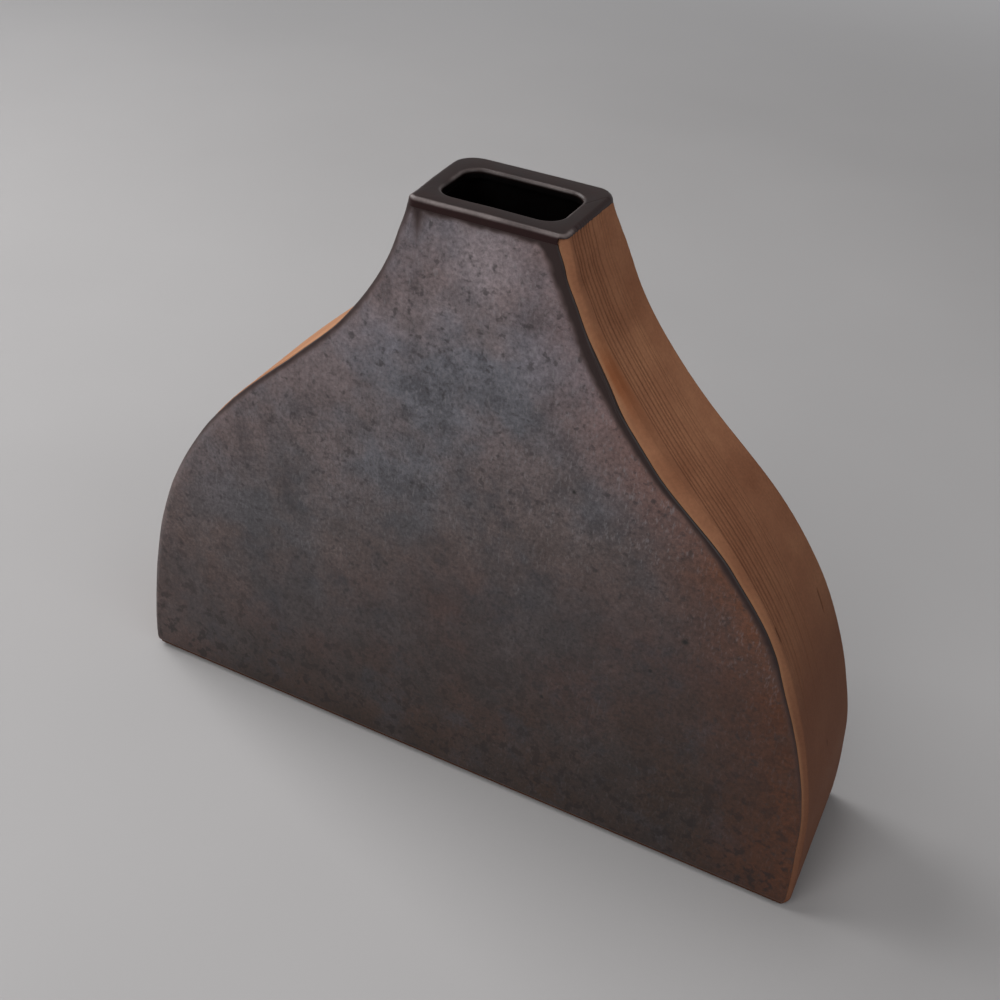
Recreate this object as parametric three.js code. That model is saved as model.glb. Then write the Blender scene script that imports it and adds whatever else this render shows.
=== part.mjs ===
// Slab-built stoneware vase: two bell-shaped slabs that lean together, two bent side walls with comb marks,
// a floor, a rim ring, glaze on the faces and the inside, and coils of clay pressed into the inner seams.
// Millimetres, +Z up, front face towards -Y, origin on the table under the middle of the foot.
import * as THREE from 'three';

// Outline, seen from the front
const height = 200;
const footWidth = 247;
const neckWidth = 48.6;
const shoulderReach = 137; // how far up the flank keeps the upright line of the foot
const neckReach = 75.5; // how far down the flank keeps the lean that it has at the rim
const neckLeanDegrees = 9.4;
const footCornerRadius = 4.5;

// Depth over both glazed faces, seen from the side
const footDepth = 56;
const neckDepth = 35.8;

// Clay
const slabThickness = 5.2;
const sideThickness = 4.8;
const baseThickness = 7;
const bevelWidth = 3; // bare bevel on the slabs' outer edge, measured in from the flank
const bevelDepth = 1.4; // and back from the face
const footBevel = 1.2; // the bevel narrows to this at the foot
const bevelRampHeight = 60; // height where the bevel reaches its full width
const coilLeg = 5; // seam coils, pressed to a hollow fillet

// Comb marks on the side walls, drawn parallel to the front edge
const combMargin = 1.5;
const combPitch = 1.8;
const combGrooveWidth = 1.1;
const combDepth = 0.5;
const combBand = 12.6; // width of the deep marks
const combRest = 2; // smooth strip behind them
const faintCombDepth = 0.25; // marks behind the smooth strip
const combFadeLow = 55; // the marks die out between these heights
const combFadeHigh = 110;

// Rim ring
const rimHeight = 3;
const rimCornerRadius = 4.5;
const rimRound = 1.8;
const mouthCornerRadius = 5.5;
const mouthRound = 2;
const rimLip = 0.4; // how far the ring reaches in past the lining

// Glaze
const glazeThickness = 0.8;
const glazeRound = 0.5;
const glazeSetback = 0.3; // bare line between the coat and the edge of its slab
const linerThickness = 0.8;

// Joints
const seamGap = 0.15; // slip line between pieces

// Fineness of curved surfaces
const flankSteps = 28;
const cornerSteps = 4;
const roundSteps = 4;
const rimCornerSteps = 6;
const flankHalvings = 40;

const quarterTurn = Math.PI / 2;
const wallTop = height - rimHeight;

// The flank is one S-curve from the foot to the rim. In this plane y stands for height.
const neckLean = THREE.MathUtils.degToRad(neckLeanDegrees);
const flank = new THREE.CubicBezierCurve(
  new THREE.Vector2(footWidth / 2, 0),
  new THREE.Vector2(footWidth / 2, shoulderReach),
  new THREE.Vector2(
    neckWidth / 2 + neckReach * Math.sin(neckLean),
    height - neckReach * Math.cos(neckLean),
  ),
  new THREE.Vector2(neckWidth / 2, height),
);

// Place on the flank at a height, found by halving the curve.
function flankAt(z) {
  let low = 0;
  let high = 1;
  for (let step = 0; step < flankHalvings; step += 1) {
    const middle = (low + high) / 2;
    if (flank.getPoint(middle).y < z) {
      low = middle;
    } else {
      high = middle;
    }
  }
  return { x: flank.getPoint(high).x, tangent: flank.getTangent(high) };
}

// Half width at a height, with the surface set in by a distance square to the flank.
function halfWidth(z, inset = 0) {
  const { x, tangent } = flankAt(z);
  return x - inset / tangent.y;
}

// Half depth at a height, with the surface set in from the glazed face.
function halfDepth(z, inset = 0) {
  return THREE.MathUtils.lerp(footDepth, neckDepth, z / height) / 2 - inset;
}

// What the rounded lower corner takes off the half width.
function cornerCut(z) {
  const below = Math.max(footCornerRadius - z, 0);
  return footCornerRadius - Math.sqrt(footCornerRadius ** 2 - below ** 2);
}

function bevelAt(z) {
  return THREE.MathUtils.lerp(footBevel, bevelWidth, Math.min(z / bevelRampHeight, 1));
}

// Heights of the level cuts that every wall shares.
const cornerHeights = Array.from(
  { length: cornerSteps + 1 },
  (_, k) => footCornerRadius * (1 - Math.cos((k / cornerSteps) * quarterTurn)),
);
const flankHeights = flank.getSpacedPoints(flankSteps).map((point) => point.y);
const levels = [...cornerHeights, footBevel, ...flankHeights].sort((a, b) => a - b);

// Shared levels between two heights, with both ends, leaving out any that would make a sliver.
function levelsBetween(bottom, top) {
  const leastStep = 0.3;
  const kept = [bottom];
  for (const z of levels) {
    if (z > kept.at(-1) + leastStep && z < top - leastStep) {
      kept.push(z);
    }
  }
  return [...kept, top];
}

// Closed skin over loops of equally many points: capped at both ends, or joined end to end as a ring.
function skin(loops, { ring = false, flatten = (p) => new THREE.Vector2(p.x, p.y) } = {}) {
  const count = loops[0].length;
  const positions = loops.flat().flatMap((p) => [p.x, p.y, p.z]);
  const faces = [];
  const bands = ring ? loops.length : loops.length - 1;
  for (let i = 0; i < bands; i += 1) {
    const here = i * count;
    const there = ((i + 1) % loops.length) * count;
    for (let j = 0; j < count; j += 1) {
      const next = (j + 1) % count;
      faces.push([here + j, here + next, there + next]);
      faces.push([here + j, there + next, there + j]);
    }
  }
  if (!ring) {
    const last = (loops.length - 1) * count;
    for (const [a, b, c] of capFaces(loops.at(-1).map(flatten))) {
      faces.push([last + a, last + b, last + c]);
    }
    for (const [a, b, c] of capFaces(loops[0].map(flatten))) {
      faces.push([c, b, a]);
    }
  }
  const inward = signedVolume(positions, faces) < 0;
  const index = faces.flatMap(([a, b, c]) => (inward ? [a, c, b] : [a, b, c]));
  const geometry = new THREE.BufferGeometry();
  geometry.setAttribute('position', new THREE.Float32BufferAttribute(positions, 3));
  geometry.setIndex(index);
  geometry.computeVertexNormals();
  return geometry;
}

// Triangles of a flat end, turned the same way round as its loop.
function capFaces(outline) {
  const turn = Math.sign(THREE.ShapeUtils.area(outline));
  return THREE.ShapeUtils.triangulateShape(outline, []).map(([a, b, c]) => {
    const same = Math.sign(THREE.ShapeUtils.area([outline[a], outline[b], outline[c]])) === turn;
    return same ? [a, b, c] : [a, c, b];
  });
}

function signedVolume(positions, faces) {
  const corner = (k) => new THREE.Vector3().fromArray(positions, 3 * k);
  return faces.reduce((sum, [a, b, c]) => sum + corner(a).dot(corner(b).cross(corner(c))) / 6, 0);
}

// The same loops on the other side of the vase.
function mirrored(loops, axis) {
  const flip = new THREE.Vector3(1, 1, 1);
  flip[axis] = -1;
  return loops.map((loop) => loop.map((p) => p.clone().multiply(flip)));
}

// Level loop that is alike left and right, from its right-hand points.
function levelPair(z, rightHalf) {
  const right = rightHalf.map(([x, y]) => new THREE.Vector3(x, y, z));
  const left = rightHalf.map(([x, y]) => new THREE.Vector3(-x, y, z));
  return [...right, ...left.reverse()];
}

// Level loop of a rectangle with round corners.
function roundedRectangle(z, halfX, halfY, radius, steps) {
  const corners = [[1, 1], [-1, 1], [-1, -1], [1, -1]];
  return corners.flatMap(([sideX, sideY], corner) => {
    const centreX = sideX * (halfX - radius);
    const centreY = sideY * (halfY - radius);
    return Array.from({ length: steps + 1 }, (_, k) => {
      const angle = (corner + k / steps) * quarterTurn;
      return new THREE.Vector3(
        centreX + radius * Math.cos(angle),
        centreY + radius * Math.sin(angle),
        z,
      );
    });
  });
}

// How deep the coats and clay lie behind the glazed face.
const slabFace = glazeThickness;
const slabInside = slabFace + slabThickness;
const wallEdge = slabInside + seamGap;

// Front slab: a bell with a bare bevel round its face and its lower corners rounded.
function frontSlabLoops() {
  return levelsBetween(0, wallTop).map((z) => {
    const edge = halfWidth(z) - cornerCut(z);
    const face = halfWidth(z, bevelAt(z)) - cornerCut(z);
    const footSetback = Math.max(footBevel - z, 0);
    return levelPair(z, [
      [face, -halfDepth(z, slabFace + footSetback)],
      [edge, -halfDepth(z, slabFace + bevelDepth)],
      [edge, -halfDepth(z, slabInside)],
    ]);
  });
}

// Front glaze: a coat on the slab's face, with a rounded edge, that stops short of the bevel and the foot.
function frontGlazeLoops() {
  return levelsBetween(footBevel + glazeSetback, wallTop - glazeSetback).map((z) => {
    const edge = halfWidth(z, bevelAt(z) + glazeSetback) - cornerCut(z);
    return levelPair(z, [
      [edge - glazeRound, -halfDepth(z)],
      [edge, -halfDepth(z, glazeRound)],
      [edge, -halfDepth(z, glazeThickness - seamGap)],
    ]);
  });
}

// Comb marks: as many as the neck has room for, deep in the front band and faint behind the smooth strip.
const narrowestSide = 2 * halfDepth(wallTop, wallEdge);
const combSlots = Math.floor((narrowestSide - 2 * combMargin) / combPitch);

function combMarkDepth(slot, z) {
  const fromFront = (slot + 0.5) * combPitch;
  const fade = THREE.MathUtils.smoothstep(z, combFadeLow, combFadeHigh);
  if (fromFront < combBand) {
    return combDepth * fade;
  }
  return fromFront < combBand + combRest ? 0 : faintCombDepth * fade;
}

// Right side wall: a bent strip between the slabs, grooved along its outside.
function rightSideLoops() {
  return levelsBetween(0, wallTop).map((z) => {
    const front = -halfDepth(z, wallEdge);
    const outside = (y, depth) => new THREE.Vector3(halfWidth(z, depth) - cornerCut(z), y, z);
    const inside = halfWidth(z, sideThickness);
    const loop = [outside(front, 0)];
    for (let slot = 0; slot < combSlots; slot += 1) {
      const middle = front + combMargin + (slot + 0.5) * combPitch;
      loop.push(outside(middle - combGrooveWidth / 2, 0));
      loop.push(outside(middle, combMarkDepth(slot, z)));
      loop.push(outside(middle + combGrooveWidth / 2, 0));
    }
    loop.push(outside(-front, 0));
    loop.push(new THREE.Vector3(inside, -front, z));
    loop.push(new THREE.Vector3(inside, front, z));
    return loop;
  });
}

// Faces of the inner corner that the coils are pressed into.
const insideWall = (z) => halfWidth(z, sideThickness + seamGap);
const insideSlab = (z) => halfDepth(z, wallEdge);

// Floor between the walls.
function baseLoops() {
  return [0, baseThickness].map((z) => levelPair(z, [
    [insideWall(z), -insideSlab(z)],
    [insideWall(z), insideSlab(z)],
  ]));
}

// Hollow fillet of a seam coil: how far each point stands off the two faces of the corner.
const coilOutline = [
  [0, 0],
  ...Array.from({ length: roundSteps + 1 }, (_, k) => {
    const angle = (k / roundSteps) * quarterTurn;
    return [coilLeg * (1 - Math.cos(angle)), coilLeg * (1 - Math.sin(angle))];
  }),
];
const coilFoot = baseThickness + seamGap;

// Coil up the seam between the front slab and the right side wall.
function frontRightCoilLoops() {
  return levelsBetween(coilFoot, wallTop).map((z) => coilOutline.map(
    ([offWall, offSlab]) => new THREE.Vector3(insideWall(z) - offWall, -insideSlab(z) + offSlab, z),
  ));
}

// Coil along the seam between the front slab and the floor, between the two upright coils.
function frontBaseCoilLoops() {
  return [-1, 1].map((side) => coilOutline.map(([offSlab, offFloor]) => {
    const z = coilFoot + offFloor;
    return new THREE.Vector3(side * (insideWall(z) - coilLeg - seamGap), -insideSlab(z) + offSlab, z);
  }));
}

// Coil along the seam between the right side wall and the floor, from the upright coil to the back slab.
function baseRightCoilLoops() {
  const ends = [(z) => -insideSlab(z) + coilLeg + seamGap, insideSlab];
  return ends.map((end) => coilOutline.map(([offWall, offFloor]) => {
    const z = coilFoot + offFloor;
    return new THREE.Vector3(insideWall(z) - offWall, end(z), z);
  }));
}

// Lining: a thin cup of glaze with round corners that nest in the coils. depth 0 is its outside.
const linerRadius = coilLeg - seamGap;

function linerLoops(depth) {
  const radius = linerRadius - depth;
  const loop = (z, inset) => roundedRectangle(
    z, insideWall(z) - inset, insideSlab(z) - inset, radius, roundSteps,
  );
  const floor = Array.from({ length: roundSteps }, (_, k) => {
    const angle = (k / roundSteps) * quarterTurn;
    return loop(coilFoot + coilLeg - radius * Math.cos(angle), coilLeg - radius * Math.sin(angle));
  });
  const wall = levelsBetween(coilFoot + coilLeg, wallTop).map((z) => loop(z, coilLeg - radius));
  return [...floor, ...wall];
}

// Rim ring: it keeps the lean of the walls, covers their tops and the lining, and has soft edges.
function rimLoops() {
  const bottom = wallTop + seamGap;
  const mouthHalfX = halfWidth(wallTop, sideThickness + 2 * seamGap + linerThickness) - rimLip;
  const mouthHalfY = halfDepth(wallTop, wallEdge + seamGap + linerThickness) - rimLip;
  const outside = (z, inset) => roundedRectangle(
    z, halfWidth(z) - inset, halfDepth(z) - inset, rimCornerRadius - inset, rimCornerSteps,
  );
  const mouth = (z, outset) => roundedRectangle(
    z, mouthHalfX + outset, mouthHalfY + outset, mouthCornerRadius + outset, rimCornerSteps,
  );
  const turns = Array.from({ length: roundSteps + 1 }, (_, k) => (k / roundSteps) * quarterTurn);
  return [
    outside(bottom, 0),
    ...turns.map((angle) => outside(
      height - rimRound * (1 - Math.sin(angle)), rimRound * (1 - Math.cos(angle)),
    )),
    ...turns.map((angle) => mouth(
      height - mouthRound * (1 - Math.cos(angle)), mouthRound * (1 - Math.sin(angle)),
    )),
    mouth(bottom, 0),
  ];
}

// Finishes: bare toasted clay, mottled face glaze, dark rim glaze.
const finishes = {
  clay: { color: 0xa87552, roughness: 0.85, metalness: 0 },
  faceGlaze: { color: 0x5c5455, roughness: 0.42, metalness: 0 },
  rimGlaze: { color: 0x3a302e, roughness: 0.25, metalness: 0 },
};

const vase = new THREE.Group();

function addPiece(name, geometry, finish) {
  const mesh = new THREE.Mesh(geometry, new THREE.MeshStandardMaterial(finishes[finish]));
  mesh.name = name;
  vase.add(mesh);
}

const alongX = { flatten: (p) => new THREE.Vector2(p.y, p.z) };
const alongY = { flatten: (p) => new THREE.Vector2(p.x, p.z) };

addPiece('front_slab', skin(frontSlabLoops()), 'clay');
addPiece('back_slab', skin(mirrored(frontSlabLoops(), 'y')), 'clay');
addPiece('right_side_wall', skin(rightSideLoops()), 'clay');
addPiece('left_side_wall', skin(mirrored(rightSideLoops(), 'x')), 'clay');
addPiece('base_slab', skin(baseLoops()), 'clay');
addPiece('seam_coil_front_right', skin(frontRightCoilLoops()), 'clay');
addPiece('seam_coil_front_left', skin(mirrored(frontRightCoilLoops(), 'x')), 'clay');
addPiece('seam_coil_front_base', skin(frontBaseCoilLoops(), alongX), 'clay');
addPiece('seam_coil_base_right', skin(baseRightCoilLoops(), alongY), 'clay');
addPiece('seam_coil_base_left', skin(mirrored(baseRightCoilLoops(), 'x'), alongY), 'clay');
addPiece('rim_ring', skin(rimLoops(), { ring: true }), 'rimGlaze');
addPiece('front_glaze', skin(frontGlazeLoops()), 'faceGlaze');
addPiece('back_glaze', skin(mirrored(frontGlazeLoops(), 'y')), 'faceGlaze');
addPiece('liner_glaze', skin([...linerLoops(0), ...linerLoops(linerThickness).reverse()]), 'rimGlaze');

export default vase;
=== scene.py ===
# %% [markdown]
# A slab-built stoneware vase
#
# The vase is flat, like a bell seen from the front, and was built from rolled slabs of clay: a front and
# a back slab lean together, two bent strips close the flanks, and a ring finishes the mouth. The faces
# carry a mottled satin glaze, the rim a dark glossy one, and the side walls are bare clay with comb
# marks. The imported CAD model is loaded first. It fixes every size, so the looks are built in its frame,
# in metres.

# %% Load the frame
import math

import bpy
import numpy as np
from mathutils import Matrix, Vector


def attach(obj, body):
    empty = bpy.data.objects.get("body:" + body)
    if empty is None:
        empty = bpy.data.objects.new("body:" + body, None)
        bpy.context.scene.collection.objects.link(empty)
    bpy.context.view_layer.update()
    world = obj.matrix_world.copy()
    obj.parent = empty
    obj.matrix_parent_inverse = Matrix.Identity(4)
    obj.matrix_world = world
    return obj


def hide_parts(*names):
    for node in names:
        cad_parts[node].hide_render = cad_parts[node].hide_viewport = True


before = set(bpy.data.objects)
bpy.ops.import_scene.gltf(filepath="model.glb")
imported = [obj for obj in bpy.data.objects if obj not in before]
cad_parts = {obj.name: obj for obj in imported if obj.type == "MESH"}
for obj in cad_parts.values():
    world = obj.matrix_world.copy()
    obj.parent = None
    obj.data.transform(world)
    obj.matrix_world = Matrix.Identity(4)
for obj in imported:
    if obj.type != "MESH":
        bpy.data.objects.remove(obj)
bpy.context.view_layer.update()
MM = 0.001
print("nodes:", ", ".join(sorted(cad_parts)))

# %% [markdown]
# The outline of the walls
#
# One S-curve gives the flank from the foot to the rim, and both slabs lean in by the same straight taper.
# Every piece below reads its place from these two rules, as the clay pieces did when they were cut to one
# paper pattern. A table of points along the curve is enough, because a straight line between close points
# can't be told from the curve.

# %% Outline, in millimetres
HEIGHT, RIM = 200.0, 3.0
WALL_TOP = HEIGHT - RIM
FOOT_WIDTH, NECK_WIDTH = 247.0, 48.6
SHOULDER_REACH, NECK_REACH, NECK_LEAN = 137.0, 75.5, math.radians(9.4)
FOOT_DEPTH, NECK_DEPTH = 56.0, 35.8
FOOT_CORNER = 4.5
SLAB, SIDE, GLAZE = 5.2, 4.8, 0.8
BEVEL, BEVEL_DEPTH, FOOT_BEVEL, BEVEL_RAMP = 3.0, 1.4, 1.2, 60.0

handles = np.array([
    [FOOT_WIDTH / 2, 0],
    [FOOT_WIDTH / 2, SHOULDER_REACH],
    [NECK_WIDTH / 2 + NECK_REACH * math.sin(NECK_LEAN), HEIGHT - NECK_REACH * math.cos(NECK_LEAN)],
    [NECK_WIDTH / 2, HEIGHT],
])
t = np.linspace(0, 1, 3001)[:, None]
flank = ((1 - t) ** 3 * handles[0] + 3 * t * (1 - t) ** 2 * handles[1]
         + 3 * t ** 2 * (1 - t) * handles[2] + t ** 3 * handles[3])
flank_x, flank_z = flank.T
flank_slope = np.gradient(flank_x, flank_z)
flank_run = np.concatenate([[0], np.cumsum(np.hypot(np.diff(flank_x), np.diff(flank_z)))])


def half_width(z, inset=0.0):
    """Half width at height z, with the surface set in square to the flank."""
    return np.interp(z, flank_z, flank_x) - inset * np.hypot(1, np.interp(z, flank_z, flank_slope))


def half_depth(z, inset=0.0):
    """Half depth at height z, set in from the glazed face."""
    return (FOOT_DEPTH + (NECK_DEPTH - FOOT_DEPTH) * np.asarray(z) / HEIGHT) / 2 - inset


def corner_cut(z):
    """What the rounded lower corner takes off the half width."""
    below = np.maximum(FOOT_CORNER - z, 0)
    return FOOT_CORNER - np.sqrt(FOOT_CORNER ** 2 - below ** 2)


def bevel_at(z):
    """Width of the bevel, narrower towards the foot."""
    return FOOT_BEVEL + (BEVEL - FOOT_BEVEL) * np.clip(z / BEVEL_RAMP, 0, 1)


def rows(count):
    """Heights from the foot to the wall's top, evenly spaced along the flank and finer round the lower
    corner."""
    corner = FOOT_CORNER * (1 - np.cos(np.linspace(0, math.pi / 2, 9)))
    top = np.interp(WALL_TOP, flank_z, flank_run)
    rest = np.interp(np.linspace(0, top, count), flank_run, flank_z)
    return np.concatenate([corner, rest[rest > FOOT_CORNER + 0.2]])


print(f"flank is {flank_run[-1]:.1f} mm long, {2 * half_width(100.0):.1f} mm wide at 100 mm")

# %% [markdown]
# From rings to meshes
#
# Each piece is a stack of rings with equally many points. Blender has lofting tools, but a mesh made from
# rows of rings in code is exact, and lets every vertex carry numbers that the finishes read later, such
# as the depth of a comb mark. Edges sharper than the given angle stay crisp, and all others are shaded
# smooth.

# %% Ring tools


def loft(name, rings, joined=False, crisp=60, **numbers):
    """A mesh over rings (rows, points, xyz) in millimetres, capped, or joined end to end.
    numbers are values for each vertex that a material can read by name."""
    rings = np.asarray(rings, float)
    count, around = rings.shape[:2]
    here = np.arange(count if joined else count - 1)[:, None] * around
    there = (here + around) % (count * around)
    a = np.arange(around)[None]
    b = (a + 1) % around
    faces = np.stack([here + a, here + b, there + b, there + a], -1).reshape(-1, 4).tolist()
    if not joined:
        faces += [list(range(around))[::-1], list(range((count - 1) * around, count * around))]
    mesh = bpy.data.meshes.new(name)
    mesh.from_pydata((rings.reshape(-1, 3) * MM).tolist(), [], faces)
    for key, values in numbers.items():
        layer = mesh.attributes.new(key, "FLOAT", "POINT")
        layer.data.foreach_set("value", np.broadcast_to(values, (count, around)).astype(np.float32).ravel())
    mesh.update()
    mesh.shade_smooth()
    mesh.set_sharp_from_angle(angle=math.radians(crisp))
    piece = bpy.data.objects.new(name, mesh)
    bpy.context.scene.collection.objects.link(piece)
    return piece


def face_outwards(piece):
    """Turns a closed mesh so that its faces look out, by the sign of its volume."""
    mesh = piece.data
    mesh.calc_loop_triangles()
    points = np.array([v.co for v in mesh.vertices])
    a, b, c = (points[[tri.vertices[k] for tri in mesh.loop_triangles]] for k in range(3))
    volume = np.einsum("ij,ij->i", a, np.cross(b, c)).sum() / 6
    if volume < 0:
        mesh.flip_normals()
    print(f"{piece.name}: {len(mesh.polygons)} faces, {abs(volume) * 1e6:.1f} cm3")


def settle(piece, node, finish):
    """Puts a finished piece in the place of its CAD node."""
    face_outwards(piece)
    piece.data.materials.append(finish)
    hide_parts(node)
    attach(piece, "root")


def waver(along, seed, longest):
    """A slow hand-made waver between about -1 and 1, from waves of falling length in millimetres."""
    phases = np.random.default_rng(seed).uniform(0, 2 * math.pi, 4)
    lengths = longest / np.array([1, 1.7, 2.9, 4.7])
    shares = np.array([0.45, 0.25, 0.18, 0.12])
    return sum(s * np.sin(2 * math.pi * along / l + p) for s, l, p in zip(shares, lengths, phases))


def ease(value, low, high):
    """0 below low, 1 above high, smooth between."""
    u = np.clip((value - low) / (high - low), 0, 1)
    return u * u * (3 - 2 * u)


def through(value, places, amounts):
    """A smooth line through the amounts at the given places."""
    steps = zip(places, places[1:], amounts, amounts[1:])
    return amounts[0] + sum((b - a) * ease(value, low, high) for low, high, a, b in steps)


print("ring tools are ready")

# %% [markdown]
# Writing materials
#
# Colours are written as they would be picked from a screen, in sRGB, and turned to the linear values that
# Blender's shaders work in. One function adds a node, sets its options and makes its links. Patterns are
# measured on the object itself in millimetres, so a speckle keeps its real size on every piece.

# %% Material tools
MIX = {"out": 2, "data_type": "RGBA"}
OVERLAY = {"out": 2, "data_type": "RGBA", "blend_type": "OVERLAY"}


def colour(code):
    """Linear RGBA from an sRGB hex code."""
    parts = [int(code[k:k + 2], 16) / 255 for k in (1, 3, 5)]
    return [c / 12.92 if c <= 0.04045 else ((c + 0.055) / 1.055) ** 2.4 for c in parts] + [1]


def add(tree, kind, inputs=None, out=0, stops=None, **options):
    """Adds a node. inputs maps a socket to a value, a colour code or another node's output; stops fill a
    colour ramp with codes or shares of white."""
    node = tree.nodes.new("ShaderNode" + kind)
    for key, value in options.items():
        setattr(node, key, value)
    for key, value in (inputs or {}).items():
        if isinstance(value, bpy.types.NodeSocket):
            tree.links.new(value, node.inputs[key])
        else:
            node.inputs[key].default_value = colour(value) if isinstance(value, str) else value
    for k, (place, shade) in enumerate(stops or []):
        stop = node.color_ramp.elements[k] if k < 2 else node.color_ramp.elements.new(place)
        stop.position = place
        stop.color = colour(shade) if isinstance(shade, str) else [shade] * 3 + [1]
    return node.outputs[out] if node.outputs else node


def new_finish(name):
    """An empty material, its node tree, and a vector that counts millimetres on the object."""
    finish = bpy.data.materials.new(name)
    finish.use_nodes = True
    tree = finish.node_tree
    tree.nodes.clear()
    place = add(tree, "TexCoord", out="Object")
    return finish, tree, add(tree, "VectorMath", {0: place, "Scale": 1 / MM}, operation="SCALE")


print("slate grey in linear light:", [round(c, 3) for c in colour("#5d5d61")[:3]])

# %% [markdown]
# Bare stoneware
#
# The side walls and bevels were never glazed. Iron in the clay toasted them tan to red-brown in the kiln,
# a comb drew lines along the walls, and a sponge left a fine grain with a few open pits. To the eye this
# is a matt surface with cloudy colour, thin streaks along the comb's path, darker lines in the marks, and
# specks. The dark in the marks is partly iron that collected there and partly painted shade. The clay is
# browner towards the foot, with painted shade in its last 3 mm above the table, and pale in a thin line
# where the glaze ends. The left wall is painted paler from about 80 mm up, as painted light. Its pores
# scatter the light, so the sheen that the Principled shader gives by default is turned down.

# %% Bare toasted stoneware
clay, tree, place = new_finish("toasted_stoneware_combed_and_sponged")
cloud = add(tree, "TexNoise", {"Vector": place, "Scale": 1 / 28, "Detail": 4, "Roughness": 0.55})
grain = add(tree, "TexNoise", {"Vector": place, "Scale": 1 / 0.9, "Detail": 3, "Roughness": 0.6})
across = add(tree, "Attribute", out="Fac", attribute_name="across_mm")
along = add(tree, "Attribute", out="Fac", attribute_name="along_mm")
strip = add(tree, "CombineXYZ", {"X": across, "Y": along})
drawn = add(tree, "VectorMath", {0: strip, 1: (1 / 0.6, 1 / 40, 1)}, operation="MULTIPLY")
streak = add(tree, "TexNoise", {"Vector": drawn, "Scale": 1, "Detail": 3, "Roughness": 0.6})
body = add(tree, "ValToRGB", {"Fac": cloud}, stops=[(0.3, "#86573e"), (0.7, "#ab7959"), (0.52, "#9a694d")])
height = add(tree, "SeparateXYZ", {0: place}, "Z")
low = add(tree, "MapRange", {0: height, 1: 140, 2: 75, 3: 0, 4: 0.85})
body = add(tree, "Mix", {0: low, 6: body, 7: "#654131"}, **MIX)
tone = add(tree, "ValToRGB", {"Fac": streak}, stops=[(0.3, 0.4), (0.7, 0.6)])
body = add(tree, "Mix", {0: 0.25, 6: body, 7: tone}, **OVERLAY)
tone = add(tree, "ValToRGB", {"Fac": grain}, stops=[(0.3, 0.38), (0.7, 0.62)])
body = add(tree, "Mix", {0: 0.45, 6: body, 7: tone}, **OVERLAY)
# pale clay where the glaze ends, and painted light: the left wall painted paler from about 80 mm up
pale = add(tree, "Attribute", out="Fac", attribute_name="pale")
body = add(tree, "Mix", {0: pale, 6: body, 7: "#b98a66"}, **MIX)
toast = add(tree, "Attribute", out="Fac", attribute_name="toast")
body = add(tree, "Mix", {0: toast, 6: body, 7: "#8a4c28"}, **MIX)
# darker in the comb marks: partly iron that collected there, partly painted shade
groove = add(tree, "Attribute", out="Fac", attribute_name="groove")
body = add(tree, "Mix", {0: groove, 6: body, 7: "#3a2219"}, **MIX)
ticked = add(tree, "VectorMath", {0: strip, 1: (1 / 9, 1 / 45, 1)}, operation="MULTIPLY")
tick_cells = add(tree, "TexVoronoi", {"Vector": ticked, "Scale": 1, "Randomness": 1})
tick = add(tree, "ValToRGB", {"Fac": tick_cells}, stops=[(0.025, 0.8), (0.05, 0.0)])
body = add(tree, "Mix", {0: tick, 6: body, 7: "#33211a"}, **MIX)
# painted shade: darker in the last 3 mm above the table
foot_contact_shade = add(tree, "MapRange", {0: height, 1: 3, 2: 0.8, 3: 0, 4: 0.85})
body = add(tree, "Mix", {0: foot_contact_shade, 6: body, 7: "#32241d"}, **MIX)
rough = add(tree, "MapRange", {0: grain, 3: 0.76, 4: 0.9})
relief = add(tree, "Math", {0: grain, 1: tick}, operation="SUBTRACT")
bump = add(tree, "Bump", {"Height": relief, "Strength": 0.45, "Distance": 0.12 * MM})
skin = add(tree, "BsdfPrincipled", {
    "Base Color": body, "Roughness": rough, "IOR": 1.45, "Specular IOR Level": 0.2, "Normal": bump})
add(tree, "OutputMaterial", {"Surface": skin})
print(clay.name, len(tree.nodes), "nodes")

# %% [markdown]
# Dark rim glaze
#
# The rim and the inside were dipped in an iron-rich glaze that fired brown-black with a soft gloss. It
# stayed deep brown on the rim's outside, and ran thin along the edges, where it is paler, and a pale grey
# painted highlight lies there too, on the front edge and round the mouth. Below the rim's top the glaze is
# painted almost black, as painted shade in the mouth. Noise alone can't find an edge, so two numbers on
# each vertex say where the glaze is thin and painted with a highlight, and where the outside is. The
# surface is smooth apart from a slight ripple.

# %% Iron-brown rim glaze
rim_glaze, tree, place = new_finish("iron_brown_glaze_dipped_glossy")
cloud = add(tree, "TexNoise", {"Vector": place, "Scale": 1 / 9, "Detail": 5, "Roughness": 0.6})
speck = add(tree, "TexNoise", {"Vector": place, "Scale": 1 / 0.8, "Detail": 2})
thin = add(tree, "Attribute", out="Fac", attribute_name="thin")
body = add(tree, "ValToRGB", {"Fac": cloud}, stops=[(0.3, "#150806"), (0.75, "#210f0b")])
outer = add(tree, "Attribute", out="Fac", attribute_name="outer")
body = add(tree, "Mix", {0: outer, 6: body, 7: "#281413"}, **MIX)
# thin glaze on the edges, with a painted highlight: pale grey on the front edge and round the mouth
body = add(tree, "Mix", {0: thin, 6: body, 7: "#857a78"}, **MIX)
tone = add(tree, "ValToRGB", {"Fac": speck}, stops=[(0.35, 0.35), (0.7, 0.65)])
body = add(tree, "Mix", {0: 0.35, 6: body, 7: tone}, **OVERLAY)
height = add(tree, "SeparateXYZ", {0: place}, "Z")
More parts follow.
